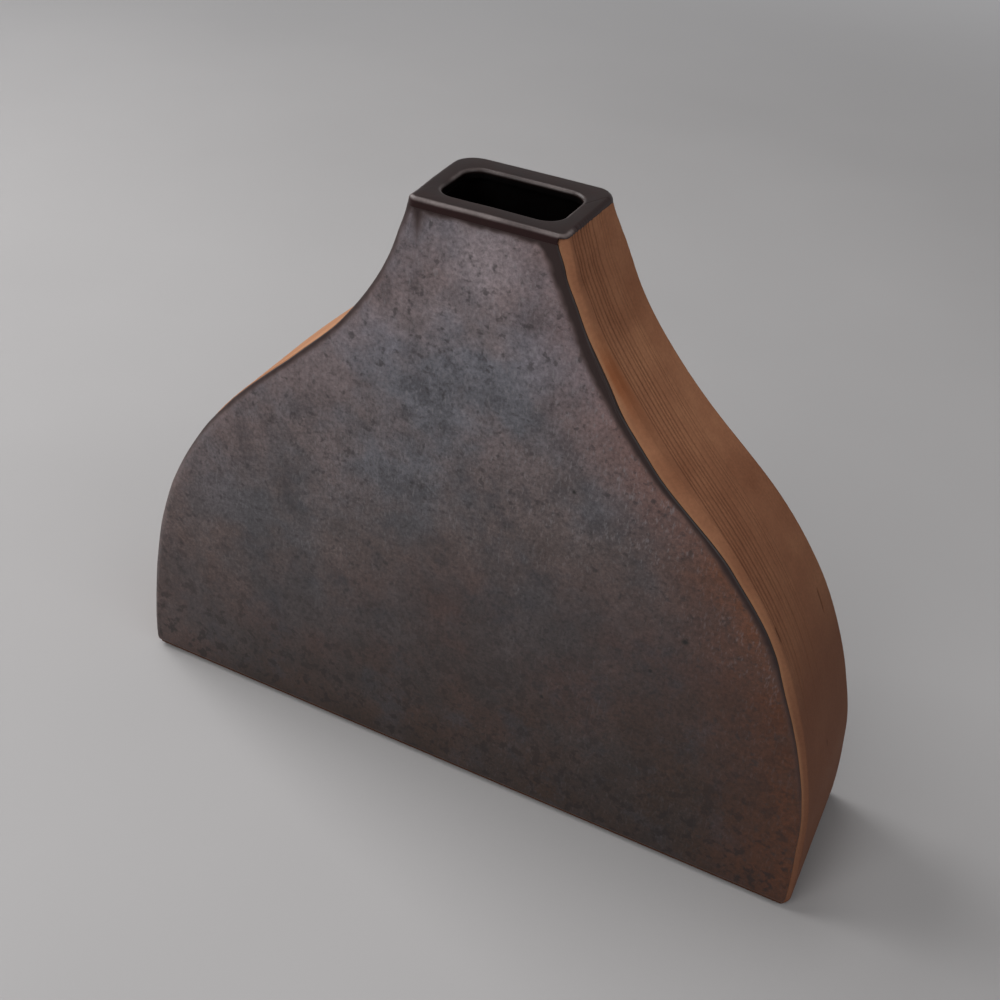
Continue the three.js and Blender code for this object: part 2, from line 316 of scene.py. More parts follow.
# painted shade: almost black from 1.6 mm below the rim's top, as shade falls in the mouth and on the lining
painted_mouth_shade = add(tree, "MapRange", {0: height, 1: 199.4, 2: 198.4, 3: 0, 4: 0.97})
painted_mouth_shade = add(tree, "Math", {0: painted_mouth_shade, 1: outer}, operation="SUBTRACT", use_clamp=True)
body = add(tree, "Mix", {0: painted_mouth_shade, 6: body, 7: "#040303"}, **MIX)
rough = add(tree, "MapRange", {0: cloud, 1: 0.3, 2: 0.7, 3: 0.28, 4: 0.4})
bump = add(tree, "Bump", {"Height": speck, "Strength": 0.25, "Distance": 0.05 * MM})
skin = add(tree, "BsdfPrincipled", {
    "Base Color": body, "Roughness": rough, "IOR": 1.45, "Specular IOR Level": 0.25, "Normal": bump})
add(tree, "OutputMaterial", {"Surface": skin})
print(rim_glaze.name, len(tree.nodes), "nodes")

# %% [markdown]
# Face glaze: fired colour
#
# The faces have a thicker satin glaze. It fired warm grey in the neck, slate in the middle and umber
# towards the foot, with blue-black clouds. A paler patch in the middle of the neck is painted sheen. Two
# colour ramps, a cool and a warm one, follow the height. Noises of falling size shift and mix them,
# because a real glaze varies at all those sizes at once.

# %% Mottled satin face glaze
NECK_SHEEN, SHEEN_RADIUS = (1.5, -18.0, 187.0), 16
face_glaze, tree, place = new_finish("mottled_stoneware_glaze_satin")
apart = add(tree, "SeparateXYZ", {0: place}, "X")
height = add(tree, "SeparateXYZ", {0: place}, "Z")
cloud = add(tree, "TexNoise", {"Vector": place, "Scale": 1 / 55, "Detail": 5, "Roughness": 0.6})
mottle = add(tree, "TexNoise", {"Vector": place, "Scale": 1 / 9, "Detail": 6, "Roughness": 0.66})
grain = add(tree, "TexNoise", {"Vector": place, "Scale": 1 / 1.2, "Detail": 3, "Roughness": 0.7})
drift = add(tree, "Math", {0: cloud, 1: 90}, operation="MULTIPLY")
drift = add(tree, "Math", {0: drift, 1: height}, operation="ADD")
drift = add(tree, "Math", {0: apart, 1: -0.3, 2: drift}, operation="MULTIPLY_ADD")
fired = add(tree, "MapRange", {0: drift, 1: 45, 2: 245})
cool = add(tree, "ValToRGB", {"Fac": fired}, stops=[
    (0.05, "#322622"), (0.95, "#6d696f"), (0.25, "#413837"), (0.5, "#504d50"), (0.72, "#65646a"),
    (0.83, "#73727a")])
warm = add(tree, "ValToRGB", {"Fac": fired}, stops=[
    (0.05, "#35241b"), (0.95, "#776a6b"), (0.25, "#493733"), (0.5, "#5b4f4d"), (0.72, "#6d6263"),
    (0.83, "#7c7173")])
warmth = add(tree, "TexNoise", {"W": 3.0, "Vector": place, "Scale": 1 / 30, "Detail": 5, "Roughness": 0.6},
             noise_dimensions="4D")
warmth = add(tree, "MapRange", {0: warmth, 1: 0.42, 2: 0.58})
body = add(tree, "Mix", {0: warmth, 6: cool, 7: warm}, **MIX)
tone = add(tree, "ValToRGB", {"Fac": mottle}, stops=[(0.28, 0.27), (0.72, 0.73)])
body = add(tree, "Mix", {0: 0.7, 6: body, 7: tone}, **OVERLAY)
clump = add(tree, "TexNoise", {"Vector": place, "Scale": 1 / 15, "Detail": 8, "Roughness": 0.72})
clump = add(tree, "MapRange", {0: clump, 1: 0.52, 2: 0.64, 3: 0, 4: 0.55})
body = add(tree, "Mix", {0: clump, 6: body, 7: "#333237"}, **MIX)
# painted sheen: a paler patch in the middle of the neck
painted_sheen = add(tree, "VectorMath", {0: place, 1: NECK_SHEEN}, "Value", operation="DISTANCE")
painted_sheen = add(tree, "MapRange", {0: painted_sheen, 1: SHEEN_RADIUS, 2: 3, 3: 0, 4: 0.6}, interpolation_type="SMOOTHSTEP")
body = add(tree, "Mix", {0: painted_sheen, 6: body, 7: "#a5979a"}, **MIX)
print(face_glaze.name, "has its fired colour")

# %% [markdown]
# Face glaze: rust, grain and runs
#
# Towards the right-hand edge the glaze ran thin and rust came through. All over it has a salt-and-pepper
# grain of about a millimetre, and in its upper part pale runs, three times as long as wide. The grain is
# overlaid, which lightens and darkens the colour below and keeps its hue.

# %% Rust, grain and runs
edge = add(tree, "Attribute", out="Fac", attribute_name="edge_mm")
rust = add(tree, "MapRange", {0: edge, 1: 34, 2: 3})
right = add(tree, "MapRange", {0: apart, 1: -10, 2: 60, 3: 0.2, 4: 1.0})
rust = add(tree, "Math", {0: rust, 1: right}, operation="MULTIPLY")
patchy = add(tree, "MapRange", {0: mottle, 1: 0.3, 2: 0.58, 3: 0.55, 4: 1.0})
rust = add(tree, "Math", {0: rust, 1: patchy}, operation="MULTIPLY")
rusty = add(tree, "ValToRGB", {"Fac": fired}, stops=[(0.2, "#512a12"), (0.8, "#806664"), (0.45, "#6b3f27")])
body = add(tree, "Mix", {0: rust, 6: body, 7: rusty}, **MIX)
tone = add(tree, "ValToRGB", {"Fac": grain}, stops=[(0.3, 0.24), (0.7, 0.76)])
body = add(tree, "Mix", {0: 0.75, 6: body, 7: tone}, **OVERLAY)
runs = add(tree, "VectorMath", {0: place, 1: (1 / 0.8, 1 / 0.8, 1 / 2.4)}, operation="MULTIPLY")
runs = add(tree, "TexNoise", {"Vector": runs, "Scale": 1, "Detail": 2, "Roughness": 0.6})
runs = add(tree, "MapRange", {0: runs, 1: 0.56, 2: 0.72, 3: 0, 4: 0.6})
patch = add(tree, "MapRange", {0: cloud, 1: 0.4, 2: 0.58, 3: 0.25, 4: 1})
runs = add(tree, "Math", {0: runs, 1: patch}, operation="MULTIPLY")
upper = add(tree, "MapRange", {0: height, 1: 45, 2: 130, 3: 0.14, 4: 0.8})
runs = add(tree, "Math", {0: runs, 1: upper}, operation="MULTIPLY")
body = add(tree, "Mix", {0: runs, 6: body, 7: "#8f8a8d"}, **MIX)
print("rust, grain and runs lie over it")

# %% [markdown]
# Face glaze: specks, blots and pits
#
# Dark specks lie all over, dark blots near the foot, and a few pits stayed open where gas left the melt.
# The small pits fall where a Voronoi pattern puts them. Four larger ones have places of their own, as
# distances from a point. The grain bends both kinds, so that no pit is a perfect circle.

# %% Specks, blots and pits
PITS = [(74.3, 88.5, 1.6), (65.8, 73.5, 1.0), (34.3, 126.0, 1.0), (32.8, 47.3, 1.0)]
speck = add(tree, "TexNoise", {"Vector": place, "Scale": 1 / 2.6, "Detail": 2, "Roughness": 0.55})
speck = add(tree, "MapRange", {0: speck, 1: 0.6, 2: 0.7, 3: 0, 4: 0.6})
body = add(tree, "Mix", {0: speck, 6: body, 7: "#2a2526"}, **MIX)
blot = add(tree, "TexNoise", {"Vector": place, "Scale": 1 / 4.5, "Detail": 3, "Roughness": 0.6})
blot = add(tree, "MapRange", {0: blot, 1: 0.53, 2: 0.6})
sunk = add(tree, "MapRange", {0: height, 1: 80, 2: 8, 3: 0.06, 4: 0.8})
blot = add(tree, "Math", {0: blot, 1: sunk}, operation="MULTIPLY")
body = add(tree, "Mix", {0: blot, 6: body, 7: "#1c1211"}, **MIX)
warped = add(tree, "VectorMath", {0: grain, 1: (0.9, 0.9, 0.9)}, operation="MULTIPLY")
warped = add(tree, "VectorMath", {0: place, 1: warped}, operation="ADD")
pit_cells = add(tree, "TexVoronoi", {"Vector": warped, "Scale": 1 / 30, "Randomness": 1})
pit = add(tree, "ValToRGB", {"Fac": pit_cells}, stops=[(0.016, 1.0), (0.03, 0.0)])
for x, z, size in PITS:
    middle = (x + 0.4, 0.4 - float(half_depth(z)), z + 0.4)
    gap = add(tree, "VectorMath", {0: warped, 1: middle}, "Value", operation="DISTANCE")
    hole = add(tree, "MapRange", {0: gap, 1: size, 2: 0.3 * size, 3: 0, 4: 1})
    pit = add(tree, "Math", {0: pit, 1: hole}, operation="MAXIMUM")
body = add(tree, "Mix", {0: pit, 6: body, 7: "#171412"}, **MIX)
print(len(PITS), "large pits have their places")

# %% [markdown]
# Face glaze: dark border and surface
#
# Near the rim and beside the right edge the coat mixed with the dark rim glaze. Each vertex of the coat
# says how far inside that zone it is, and a noise makes the zone's border ragged. On the right the coat's
# lip is painted as a near-black line of shade. A roughness of about 0.45 gives the satin look, and grain
# and pits are in the bump as well.

# %% Dark border and surface
dark = add(tree, "Attribute", out="Fac", attribute_name="glazed_mm")
ragged = add(tree, "TexNoise", {"Vector": place, "Scale": 1 / 2.4, "Detail": 4})
dark = add(tree, "Math", {0: dark, 1: ragged}, operation="ADD")
stain = add(tree, "MapRange", {0: dark, 1: -0.3, 2: 0.9, 3: 0, 4: 0.75})
body = add(tree, "Mix", {0: stain, 6: body, 7: "#45302b"}, **MIX)
dark = add(tree, "MapRange", {0: dark, 1: 0.3, 2: 1.3})
body = add(tree, "Mix", {0: dark, 6: body, 7: "#230d09"}, **MIX)
# painted shade: a near-black line on the coat's lip along the right edge, strongest higher up
border = add(tree, "MapRange", {0: edge, 1: 0.6, 2: 0.25})
border = add(tree, "Math", {0: border, 1: right}, operation="MULTIPLY")
upper = add(tree, "MapRange", {0: height, 1: 50, 2: 120, 3: 0, 4: 0.9})
border = add(tree, "Math", {0: border, 1: upper}, operation="MULTIPLY")
body = add(tree, "Mix", {0: border, 6: body, 7: "#0d0403"}, **MIX)
rough = add(tree, "MapRange", {0: mottle, 1: 0.3, 2: 0.7, 3: 0.38, 4: 0.5})
relief = add(tree, "Math", {0: grain, 1: pit}, operation="SUBTRACT")
bump = add(tree, "Bump", {"Height": relief, "Strength": 0.35, "Distance": 0.1 * MM})
skin = add(tree, "BsdfPrincipled", {"Base Color": body, "Roughness": rough, "IOR": 1.5, "Normal": bump})
add(tree, "OutputMaterial", {"Surface": skin})
print(face_glaze.name, len(tree.nodes), "nodes")

# %% [markdown]
# Hand-cut flanks
#
# A potter cuts a flank by eye, so each side strays from the pattern: by less than a millimetre along the
# wall, and on the right by up to 1.6 mm at the rim. The left wall swells a little under the rim, and a
# thumb rounded the neck's upright corners at the back. A few strays at chosen heights, joined by smooth
# steps, are enough. Slabs, walls, coats and rim read them from the same functions, so they still meet.
# How far the face glaze laps over the bevel is written the same way: most of it on the left, less than
# half on the right.

# %% Hand-cut flanks
BACK_RIGHT, BACK_LEFT, COLLAR = 6.0, 7.5, 178
CUT_HEIGHTS = [0, 25, 40, 60, 76, 97, 118, 139, 160, 180, 190, 200]
CUT_RIGHT = [0.05, -0.2, -0.6, -0.1, 0, -0.4, -0.75, 0.2, -0.6, -0.3, 0.5, 1.6]
CUT_LEFT = [0.4, 0.5, 0.3, -0.1, -0.35, -0.1, -0.5, -0.4, 0.1, 0.3, 0.2, 0.1]
LAP_HEIGHTS = [0, 18, 35, 57, 80, 100, 117, 136, 150, 165, 178, 190, 197]
LAP_RIGHT = [0.04, 0.1, 0.26, 0.3, 0.2, 0.4, 0.3, 0.06, 0.2, 0.42, 0.34, 0.18, 0.06]
LAP_LEFT = [0.3, 0.8, 1, 1, 1, 1, 0.8, 0.7, 0.8, 0.95, 1, 1, 1]


def hand_cut(z, side, back=0.0):
    """How far the hand-cut flank stays inside the pattern. back runs over the side wall from 0 at the front
    to 1 at the back. The left flank is a little wider at the back of the shoulder, and swells under the
    rim."""
    cut = through(z, CUT_HEIGHTS, CUT_RIGHT if side > 0 else CUT_LEFT)
    shoulder = 0.9 * back * ease(z, 90, 115) * ease(z, 175, 150)
    swell = (1 - (1 - np.asarray(back)) ** 2.2) * ease(z, COLLAR, 196)
    return cut - (shoulder + swell) * (side < 0)


def lapped(z, side):
    """How much of the bevel the face glaze covers, from 0 to 1."""
    share = through(z, LAP_HEIGHTS, LAP_RIGHT if side > 0 else LAP_LEFT)
    return np.clip(share * (1 + 0.08 * waver(z, 31, 40.0)), 0.02, 1)


def back_corner(y, z, side):
    """What the thumb took off the neck's upright corners at the back."""
    radius = 0.01 + (BACK_RIGHT if side > 0 else BACK_LEFT) * ease(z, COLLAR, WALL_TOP)
    over = np.clip(y - half_depth(z) + radius, 0, radius)
    return radius - np.sqrt(radius ** 2 - over ** 2)


print(f"at the rim the right flank is {hand_cut(HEIGHT, 1):.1f} mm inside the pattern")

# %% [markdown]
# Comb marks and the rim glaze's border
#
# A toothed comb was dragged down each side wall beside its front edge, about 1.8 mm from tooth to tooth.
# Its path bows back on the shoulder, runs onto the slab's edge above and below that, and fades over the
# foot, where the comb was lifted off. Two nicks mark the right wall. On the flanks the dark glaze was
# wiped back almost to the rim's edge, a little less towards the back, and it stayed in the comb marks. So
# one function gives the marks, and the border reads it.

# %% Comb marks and glaze border
COMB_PITCH, COMB_DEPTH, WIPED = 1.8, 0.55, 1.9
COMB_START, COMB_BOW, BOW_MIDDLE, BOW_HALF = -2.3, 4.6, 155.0, 46.0
DEEP_TEETH, ALL_TEETH, TOOTH_HALF = 8, 12, 0.3
NICKS, NICK_DEPTH, NICK_HALF = [(-2.0, 97.0, 101.0), (31.0, 86.5, 93.5)], 1.2, 0.4


def comb_depth(across, z, side):
    """Depth of the comb marks at a distance behind the joint of front slab and side wall."""
    seed = 6 - side
    chance = np.random.default_rng(seed)
    start = COMB_START + COMB_BOW * np.cos(math.pi / 2 * np.clip((z - BOW_MIDDLE) / BOW_HALF, -1, 1)) ** 2
    depth = np.zeros(np.broadcast(across, z).shape)
    for tooth in range(ALL_TEETH):
        deep = tooth < DEEP_TEETH
        strength = chance.uniform(0.6, 1.0) if deep else chance.uniform(0.15, 0.45)
        middle = start + COMB_PITCH * (tooth if deep else tooth + 0.8) + chance.uniform(-0.35, 0.35)
        middle = middle + 0.15 * waver(z, seed + tooth, 70.0)
        width = TOOTH_HALF + 0.06 * waver(z, seed + 40 + tooth, 25.0)
        ends = chance.uniform(60, 95)
        press = ease(z, ends, ends + 40) * (0.8 + 0.2 * waver(z, seed + 80 + tooth, 40.0))
        depth += strength * press * np.exp(-((across - middle) / width) ** 2)
    for middle, low, high in NICKS if side > 0 else []:
        held = ease(z, low - 0.8, low + 0.8) * ease(z, high + 0.8, high - 0.8)
        depth += NICK_DEPTH * held * np.exp(-((across - middle) / NICK_HALF) ** 2)
    return COMB_DEPTH * depth


def clay_top(y, side, onto=1.0):
    """Height where the rim's glaze ends on a flank, at depth y from front to back. onto runs over the bevel,
    from 0 at the glazed face to 1 at the flank."""
    held = comb_depth(y + half_depth(WALL_TOP, GLAZE + SLAB), WALL_TOP, side) / COMB_DEPTH
    line = np.clip(WIPED - 0.025 * (y + 14), 0, WIPED) - 0.35 * held + 0.1 * waver(y, 91 + side, 9.0)
    line = line * ease(y, 16.5, 12)
    bare = ease(onto, 0.02, 0.2) if side > 0 else ease(onto, 0.85, 1.0)
    return WALL_TOP + np.maximum(line, 0) * bare


print(f"glaze border at the front edge: {clay_top(-12.0, 1):.1f} mm")

# %% [markdown]
# Front and back slabs
#
# Each slab was cut to the bell outline and its outer edge pared to a bevel with a wire, then softened
# with a finger, most on the front right shoulder. A bevel modifier could round the edge, but its width
# changes along the flank, so the ring itself holds the curve: a power of sine and cosine between a
# straight chamfer and a quarter circle. Each vertex keeps how pale the clay is, with painted light on
# the left, how toasted it is, and how dark its comb marks are, partly as painted shade.

# %% Slabs
TUCK = 0.7
turn = np.linspace(0, math.pi / 2, 13)[None]


def softness(z):
    """The bevel's power: a chamfer near the foot, almost a round in the neck."""
    return 1.35 - 0.25 * ease(z, 85, 135)


def round_depth(z, broad):
    """How far the softened edge reaches back: the bevel, or on a broad edge a round on the shoulder."""
    return BEVEL_DEPTH + 1.6 * ease(z, 95, 130) * ease(z, 195, 165) * broad


def slab(node, front):
    """A bell-shaped slab whose flank rises to the glaze border, front or back."""
    level = rows(300)
    rise = np.concatenate([0 * level, [0.33, 0.67, 1.0, 0.0]])[:, None]
    level = np.concatenate([level, [WALL_TOP] * 4])[:, None]
    foot = np.maximum(FOOT_BEVEL - level, 0)
    soft = softness(level)
    along = np.interp(level, flank_z, flank_run)
    halves = []
    for side in (1, -1):
        reach = round_depth(level, side > 0 and front > 0)
        behind = reach + (SLAB - reach) * np.linspace(0, 1, 26)[None]
        onto = np.concatenate([np.sin(turn) ** soft, 1 + 0 * behind], 1)
        depth = np.concatenate([foot + (reach - foot) * (1 - np.cos(turn) ** soft), behind], 1)
        y = front * (depth - half_depth(level, GLAZE))
        z = level + rise * (clay_top(y, side, onto) - WALL_TOP)
        cut = corner_cut(z) + hand_cut(z, side, front < 0)
        groove = comb_depth(depth - SLAB, level, side) * ease(depth, reach - 0.6, reach + 0.2) * (front > 0)
        edge_x, face_x = half_width(z, groove) - cut, half_width(z, bevel_at(z)) - cut
        x = np.minimum(face_x + (edge_x - face_x) * onto, edge_x - back_corner(y, z, side))
        x[-1] -= TUCK
        toast = 0.65 * np.exp(-((z - 163) / 9) ** 2) * ease(depth, 0.6, 1.6) * (side > 0 and front > 0)
        over_edge = np.concatenate([turn / (math.pi / 2) + 0 * level, 1 + (behind - reach) / 2], 1)
        bared = over_edge - lapped(level, side)
        pale = 0.07 * ease(level, 1.5, 6) * ease(bared, 1.2, 0.1)
        pale = (pale + 0.3 * np.exp(-(bared / 0.13) ** 2) * ease(level, 10, 60)) * (front > 0)
        # painted light: on the left the clay is painted paler from about 80 mm up
        pale = np.maximum(pale, 0.45 * (side < 0) * ease(level, 80, 110) * ease(depth, 0.6, 1.6))
        # darker in the comb marks, partly painted shade
        groove_wash_and_shade = 0.75 * np.clip(groove / COMB_DEPTH, 0, 1)
        halves.append(np.stack([side * x, y, z, pale, toast, groove_wash_and_shade, depth - SLAB, along + 0 * x], -1))
    ring = np.concatenate([halves[0], halves[1][:, ::-1]], 1)
    keys = ("pale", "toast", "groove", "across_mm", "along_mm")
    numbers = {key: ring[..., 3 + k] for k, key in enumerate(keys)}
    return loft(node + "_clay", ring[..., :3], **numbers)


for node, front in (("front_slab", 1), ("back_slab", -1)):
    settle(slab(node, front), node, clay)

# %% [markdown]
# Combed side walls
#
# The comb marks are real grooves in the mesh and not a bump, because the light runs along the wall and a
# bump would stay flat at its outline. Each vertex keeps how deep its groove is, which also darkens the
# clay there, partly as painted shade, how toasted the clay is, how much paler the left wall is painted as
# painted light, and its place along the strip, which the finish turns to streaks that follow the bend.

# %% Side walls


def side_wall(node, side):
    """A bent strip with its outside combed, up to the glaze border."""
    level = rows(430)
    rise = np.concatenate([0 * level, [0.33, 0.67, 1.0]])[:, None]
    level = np.concatenate([level, [WALL_TOP] * 3])[:, None]
    edge = half_depth(level, GLAZE + SLAB)
    share = np.linspace(0, 1, 190)[None]
    y = edge * (2 * share - 1)
    across = y + edge
    groove = comb_depth(across, level, side)
    z = level + rise * (clay_top(y[-1:], side) - WALL_TOP)
    outer = half_width(z, groove) - corner_cut(z) - hand_cut(z, side, share) - back_corner(y, z, side)
    inner = np.repeat(half_width(level, SIDE), 2, 1)
    x = np.concatenate([outer, inner], 1)
    z = np.concatenate([z, np.repeat(level + 0.05 * rise, 2, 1)], 1)
    ring = np.stack([side * x, np.concatenate([y, edge, -edge], 1), z], -1)
    pad = np.zeros((len(level), 2))
    run = np.interp(level, flank_z, flank_run)
    toast = 0.5 * np.exp(-((level - 161) / 9) ** 2 - (across / 2.0) ** 2) * (side > 0)
    # painted light: the left wall painted paler from about 80 mm up
    pale = 0.45 * (side < 0) * ease(level, 80, 110) + 0 * across
    # groove darkens the comb marks, partly painted shade
    return loft(
        node + "_combed", ring,
        groove=np.concatenate([0.75 * np.clip(groove / COMB_DEPTH, 0, 1), pad], 1),
        across_mm=np.concatenate([across, pad], 1),
        along_mm=np.concatenate([run + 0 * across, pad], 1),
        toast=np.concatenate([toast, pad], 1),
        pale=np.concatenate([pale, pad], 1),
    )


for node, side in (("right_side_wall", 1), ("left_side_wall", -1)):
    settle(side_wall(node, side), node, clay)

# %% [markdown]
# Glaze coats on the faces
#
# The coat was poured over the slab and ends in a soft lip. It covers most of the left bevel and less than
# half of the right one, where a bead stands on the shoulder. Beside the right edge it mixed with the dark
# rim glaze, most near the mouth, and one drip ran down at the left. A solidify modifier would give an
# even skin, but this one thins out at its border, so it is a closed skin of changing thickness over the
# slab's curve.

# %% Face coats
LIP, FEATHER, HAIRLINE = 0.9, 0.03, 0.02
LAP_POINTS, BACK_LAP = 12, 0.1
DARK_HEIGHTS = [0, 30, 60, 80, 95, 122, 137, 148, 160, 174, 184, 190, 194, 197]
DARK_RIGHT = [-2, -1.6, -0.4, 0.2, 0.2, 1.2, 2.0, 2.2, 1.9, 1.9, 2.6, 3.2, 4.2, 5.8]
DARK_LEFT = [-3, -3, -2, -1, -0.3, 0.6, 0.8, 0.8, 0.6, 0.3, 0.2, 0.3, 0.6, 1.4]
DRIP_AT, DRIP_HALF, DRIP_LENGTH = 20.4, 2.4, 7.0
BEAD_LOW, BEAD_HIGH, BEAD_FADE, BEAD_LIFT = 154, 171, 3, 0.5


def coat(node, front):
    """A thin skin of glaze over a slab's face and part of its bevel."""
    z = rows(330)
    z = z[z > FOOT_BEVEL + 0.3][:, None]
    halves = []
    for side, darks in ((1, DARK_RIGHT), (-1, DARK_LEFT)):
        cut = corner_cut(z) + hand_cut(z, side, front < 0)
        face_x, edge_x = half_width(z, bevel_at(z)) - cut, half_width(z) - cut
        lap = lapped(z, side) * (1 if front > 0 else BACK_LAP * (0.05 + 0.95 * ease(z, 185, 175)))
        angle = np.linspace(1, 0, LAP_POINTS)[None] * math.pi / 2 * lap * 0.96
        border_x = face_x - (0.2 + 0.1 * waver(z, 33, 30.0)) * (1 - lap)
        border_x = np.minimum(border_x, edge_x - back_corner(-front * half_depth(z, GLAZE), z, side))
        soft, reach = softness(z), round_depth(z, side > 0 and front > 0)
        over_x = border_x + (edge_x - border_x) * np.sin(angle) ** soft
        over_y = reach * (1 - np.cos(angle) ** soft)
        run_x = (edge_x - border_x) * np.sin(angle) ** (soft - 1) * np.cos(angle) + 1e-6
        tilt = np.arctan2(reach * np.cos(angle) ** (soft - 1) * np.sin(angle), run_x)
        across = border_x * (1 - np.linspace(0, 1, 110)[None, 1:] ** 1.25)
        x = np.concatenate([over_x, across], 1)
        y = np.concatenate([over_y, 0 * across], 1)
        step = np.hypot(np.diff(x, axis=1), np.diff(y, axis=1))
        from_edge = np.concatenate([0 * z, np.cumsum(step, 1)], 1)
        rim_in = np.clip(np.minimum(from_edge, z - z[0]) / LIP, 0, 1)
        thick = np.sqrt(1 - (1 - rim_in) ** 2)
        swell = 0.1 * (1 + waver(side * x + 0.6 * z, 21, 120.0)) + 0.05 * (1 + waver(side * x - z, 23, 45.0))
        coat_mm = FEATHER + (GLAZE - FEATHER - swell * ease(z, WALL_TOP, WALL_TOP - 12)) * thick
        if side > 0:
            bead = ease(z, BEAD_LOW - BEAD_FADE, BEAD_LOW + BEAD_FADE) * (front > 0)
            bead = bead * ease(z, BEAD_HIGH + BEAD_FADE, BEAD_HIGH - BEAD_FADE)
            coat_mm = coat_mm + BEAD_LIFT * bead * np.exp(-((from_edge - 0.6) / 0.4) ** 2)
        else:
            coat_mm[:, :LAP_POINTS] *= 1 - 0.8 * ease(z, 188, 196)
        out_x = np.concatenate([np.sin(tilt), 0 * across], 1)
        out_y = np.concatenate([-np.cos(tilt), 0 * across - 1], 1)
        top = y - half_depth(z, GLAZE)
        skins = [np.stack([side * (x + lift * out_x), top + lift * out_y, z + 0 * x], -1)
                 for lift in (coat_mm, HAIRLINE)]
        band = through(z, DARK_HEIGHTS, darks) * (1 + 0.2 * waver(z, 51, 26.0))
        lap_mm = from_edge[:, LAP_POINTS - 1:LAP_POINTS] * (1 if side > 0 else 0.4)
        under_rim = z - WALL_TOP + 0.9 + 0.5 * waver(side * x, 61, 14.0)
        dark = np.maximum(0.6 * (lap_mm + band - from_edge), under_rim)
        if side < 0:
            drip = DRIP_HALF * (1 - (WALL_TOP - z) / DRIP_LENGTH) - np.abs(x - DRIP_AT)
            dark = np.maximum(dark, 0.4 * drip)
        halves.append((*skins, from_edge, dark))
    (outer, under, far, dark), (outer_left, under_left, far_left, dark_left) = halves
    loop = np.concatenate([outer, outer_left[:, -2::-1], under_left, under[:, -2::-1]], 1)
    edge_mm = np.concatenate([far, far_left[:, -2::-1], far_left, far[:, -2::-1]], 1)
    glazed = np.concatenate([dark, dark_left[:, -2::-1], dark_left, dark[:, -2::-1]], 1)
    return loft(node + "_coat", loop * [1, front, 1], crisp=70, edge_mm=edge_mm, glazed_mm=glazed)


for node, front in (("front_glaze", 1), ("back_glaze", -1)):
    settle(coat(node, front), node, face_glaze)

# %% [markdown]
# Outline of the rim and the mouth
#
# Seen from above, the rim is a rectangle whose front corners keep the slab's bevel and whose back corners
# are round, and the mouth is a smaller one, a little off the middle. One function gives the points round
# such a rectangle, always equally many, so that any two of them can be joined to a skin.

# %% Rim and mouth outlines
RIM_ROUND = 1.3
FRONT_CORNER = (BEVEL, BEVEL_DEPTH + GLAZE, softness(HEIGHT))
RIM_CORNERS = [(BACK_RIGHT, BACK_RIGHT, 1), (BACK_LEFT, BACK_LEFT, 1), FRONT_CORNER, FRONT_CORNER]
MOUTH_X, MOUTH_Y, MOUTH_CORNER, MOUTH_ROUND = 18.2, 10.7, 5.5, 1.2
MOUTH_SHIFT = (-0.9, -0.7)


def rounded_rectangle(half_x, half_y, corners):
    """Points round a rectangle whose four corners have a reach in x and y and a softness, with extra points
    along its straight sides."""
    signs = [(1, 1), (-1, 1), (-1, -1), (1, -1)]
    arcs = []
    for k, ((sx, sy), (reach_x, reach_y, soft)) in enumerate(zip(signs, corners)):
        angles = (k + np.linspace(0, 1, 17)) * math.pi / 2
        x = half_x - reach_x * (1 - np.abs(np.cos(angles)) ** soft)
        y = half_y - reach_y * (1 - np.abs(np.sin(angles)) ** soft)
        arcs.append(np.stack([sx * x, sy * y], 1))
    ring = []
    for k, count in enumerate((40, 130, 40, 130)):
        start, end = arcs[k][-1], arcs[(k + 1) % 4][0]
        ring += [arcs[k], start + (end - start) * np.linspace(0, 1, count)[1:-1, None]]
    return np.concatenate(ring)


def outside(z, inset):
    """The outer edge at height z, a number or one for each point, which keeps the lean of the walls."""
    corners = [(rx - inset, ry - inset, soft) for rx, ry, soft in RIM_CORNERS]
    ring = rounded_rectangle(half_width(HEIGHT) - inset, half_depth(HEIGHT) - inset, corners)
    share = np.clip(ring[:, 1] / (2 * half_depth(HEIGHT, GLAZE + SLAB)) + 0.5, 0, 1)
    wide = half_width(z) - np.where(ring[:, 0] > 0, hand_cut(z, 1), hand_cut(z, -1, share))
    return ring * np.stack([wide / half_width(HEIGHT), half_depth(z) / half_depth(HEIGHT) + 0 * wide], -1)


def mouth(outset):
    """The inner edge."""
    corner = (MOUTH_CORNER + outset, MOUTH_CORNER + outset, 1)
    return rounded_rectangle(MOUTH_X + outset, MOUTH_Y + outset, [corner] * 4) + MOUTH_SHIFT


print(f"mouth: {2 * MOUTH_X:.1f} by {2 * MOUTH_Y:.1f} mm, {len(mouth(0.0))} points round it")

# %% [markdown]
# Rim ring
#
# The walls end in a rolled edge under the dark glaze. A rectangle with a bevel modifier would come close,
# but the lower border follows the clay and the roll is smaller where that border is high, so each ring of
# the loft has its own corners and heights: up the outside, over the roll, across the top and into the
# mouth. A slow waver takes the machine look off the top, and another one varies the wear and the painted
# highlight along the edges. The painted highlight lies on the front edge of the roll and on the mouth's
# rounded edge.

# %% Rim
outline = outside(WALL_TOP, 0.0)
wide = half_width(WALL_TOP) - np.where(outline[:, 0] > 0, hand_cut(WALL_TOP, 1), hand_cut(WALL_TOP, -1))
onto = 1 - (wide - np.abs(outline[:, 0])) / BEVEL
depth = outline[:, 1]
border = np.where(outline[:, 0] > 0, clay_top(depth, 1, onto), clay_top(depth, -1, onto)) + 0.03
girth = np.cumsum(np.hypot(*np.diff(outline, axis=0, append=outline[:1]).T))
sag = 0.12 * (1 + waver(girth / girth[-1] * 160, 71, 80.0))
wear_and_highlight = np.clip(0.7 + 0.5 * waver(girth / girth[-1] * 120, 77, 30.0), 0, 1)
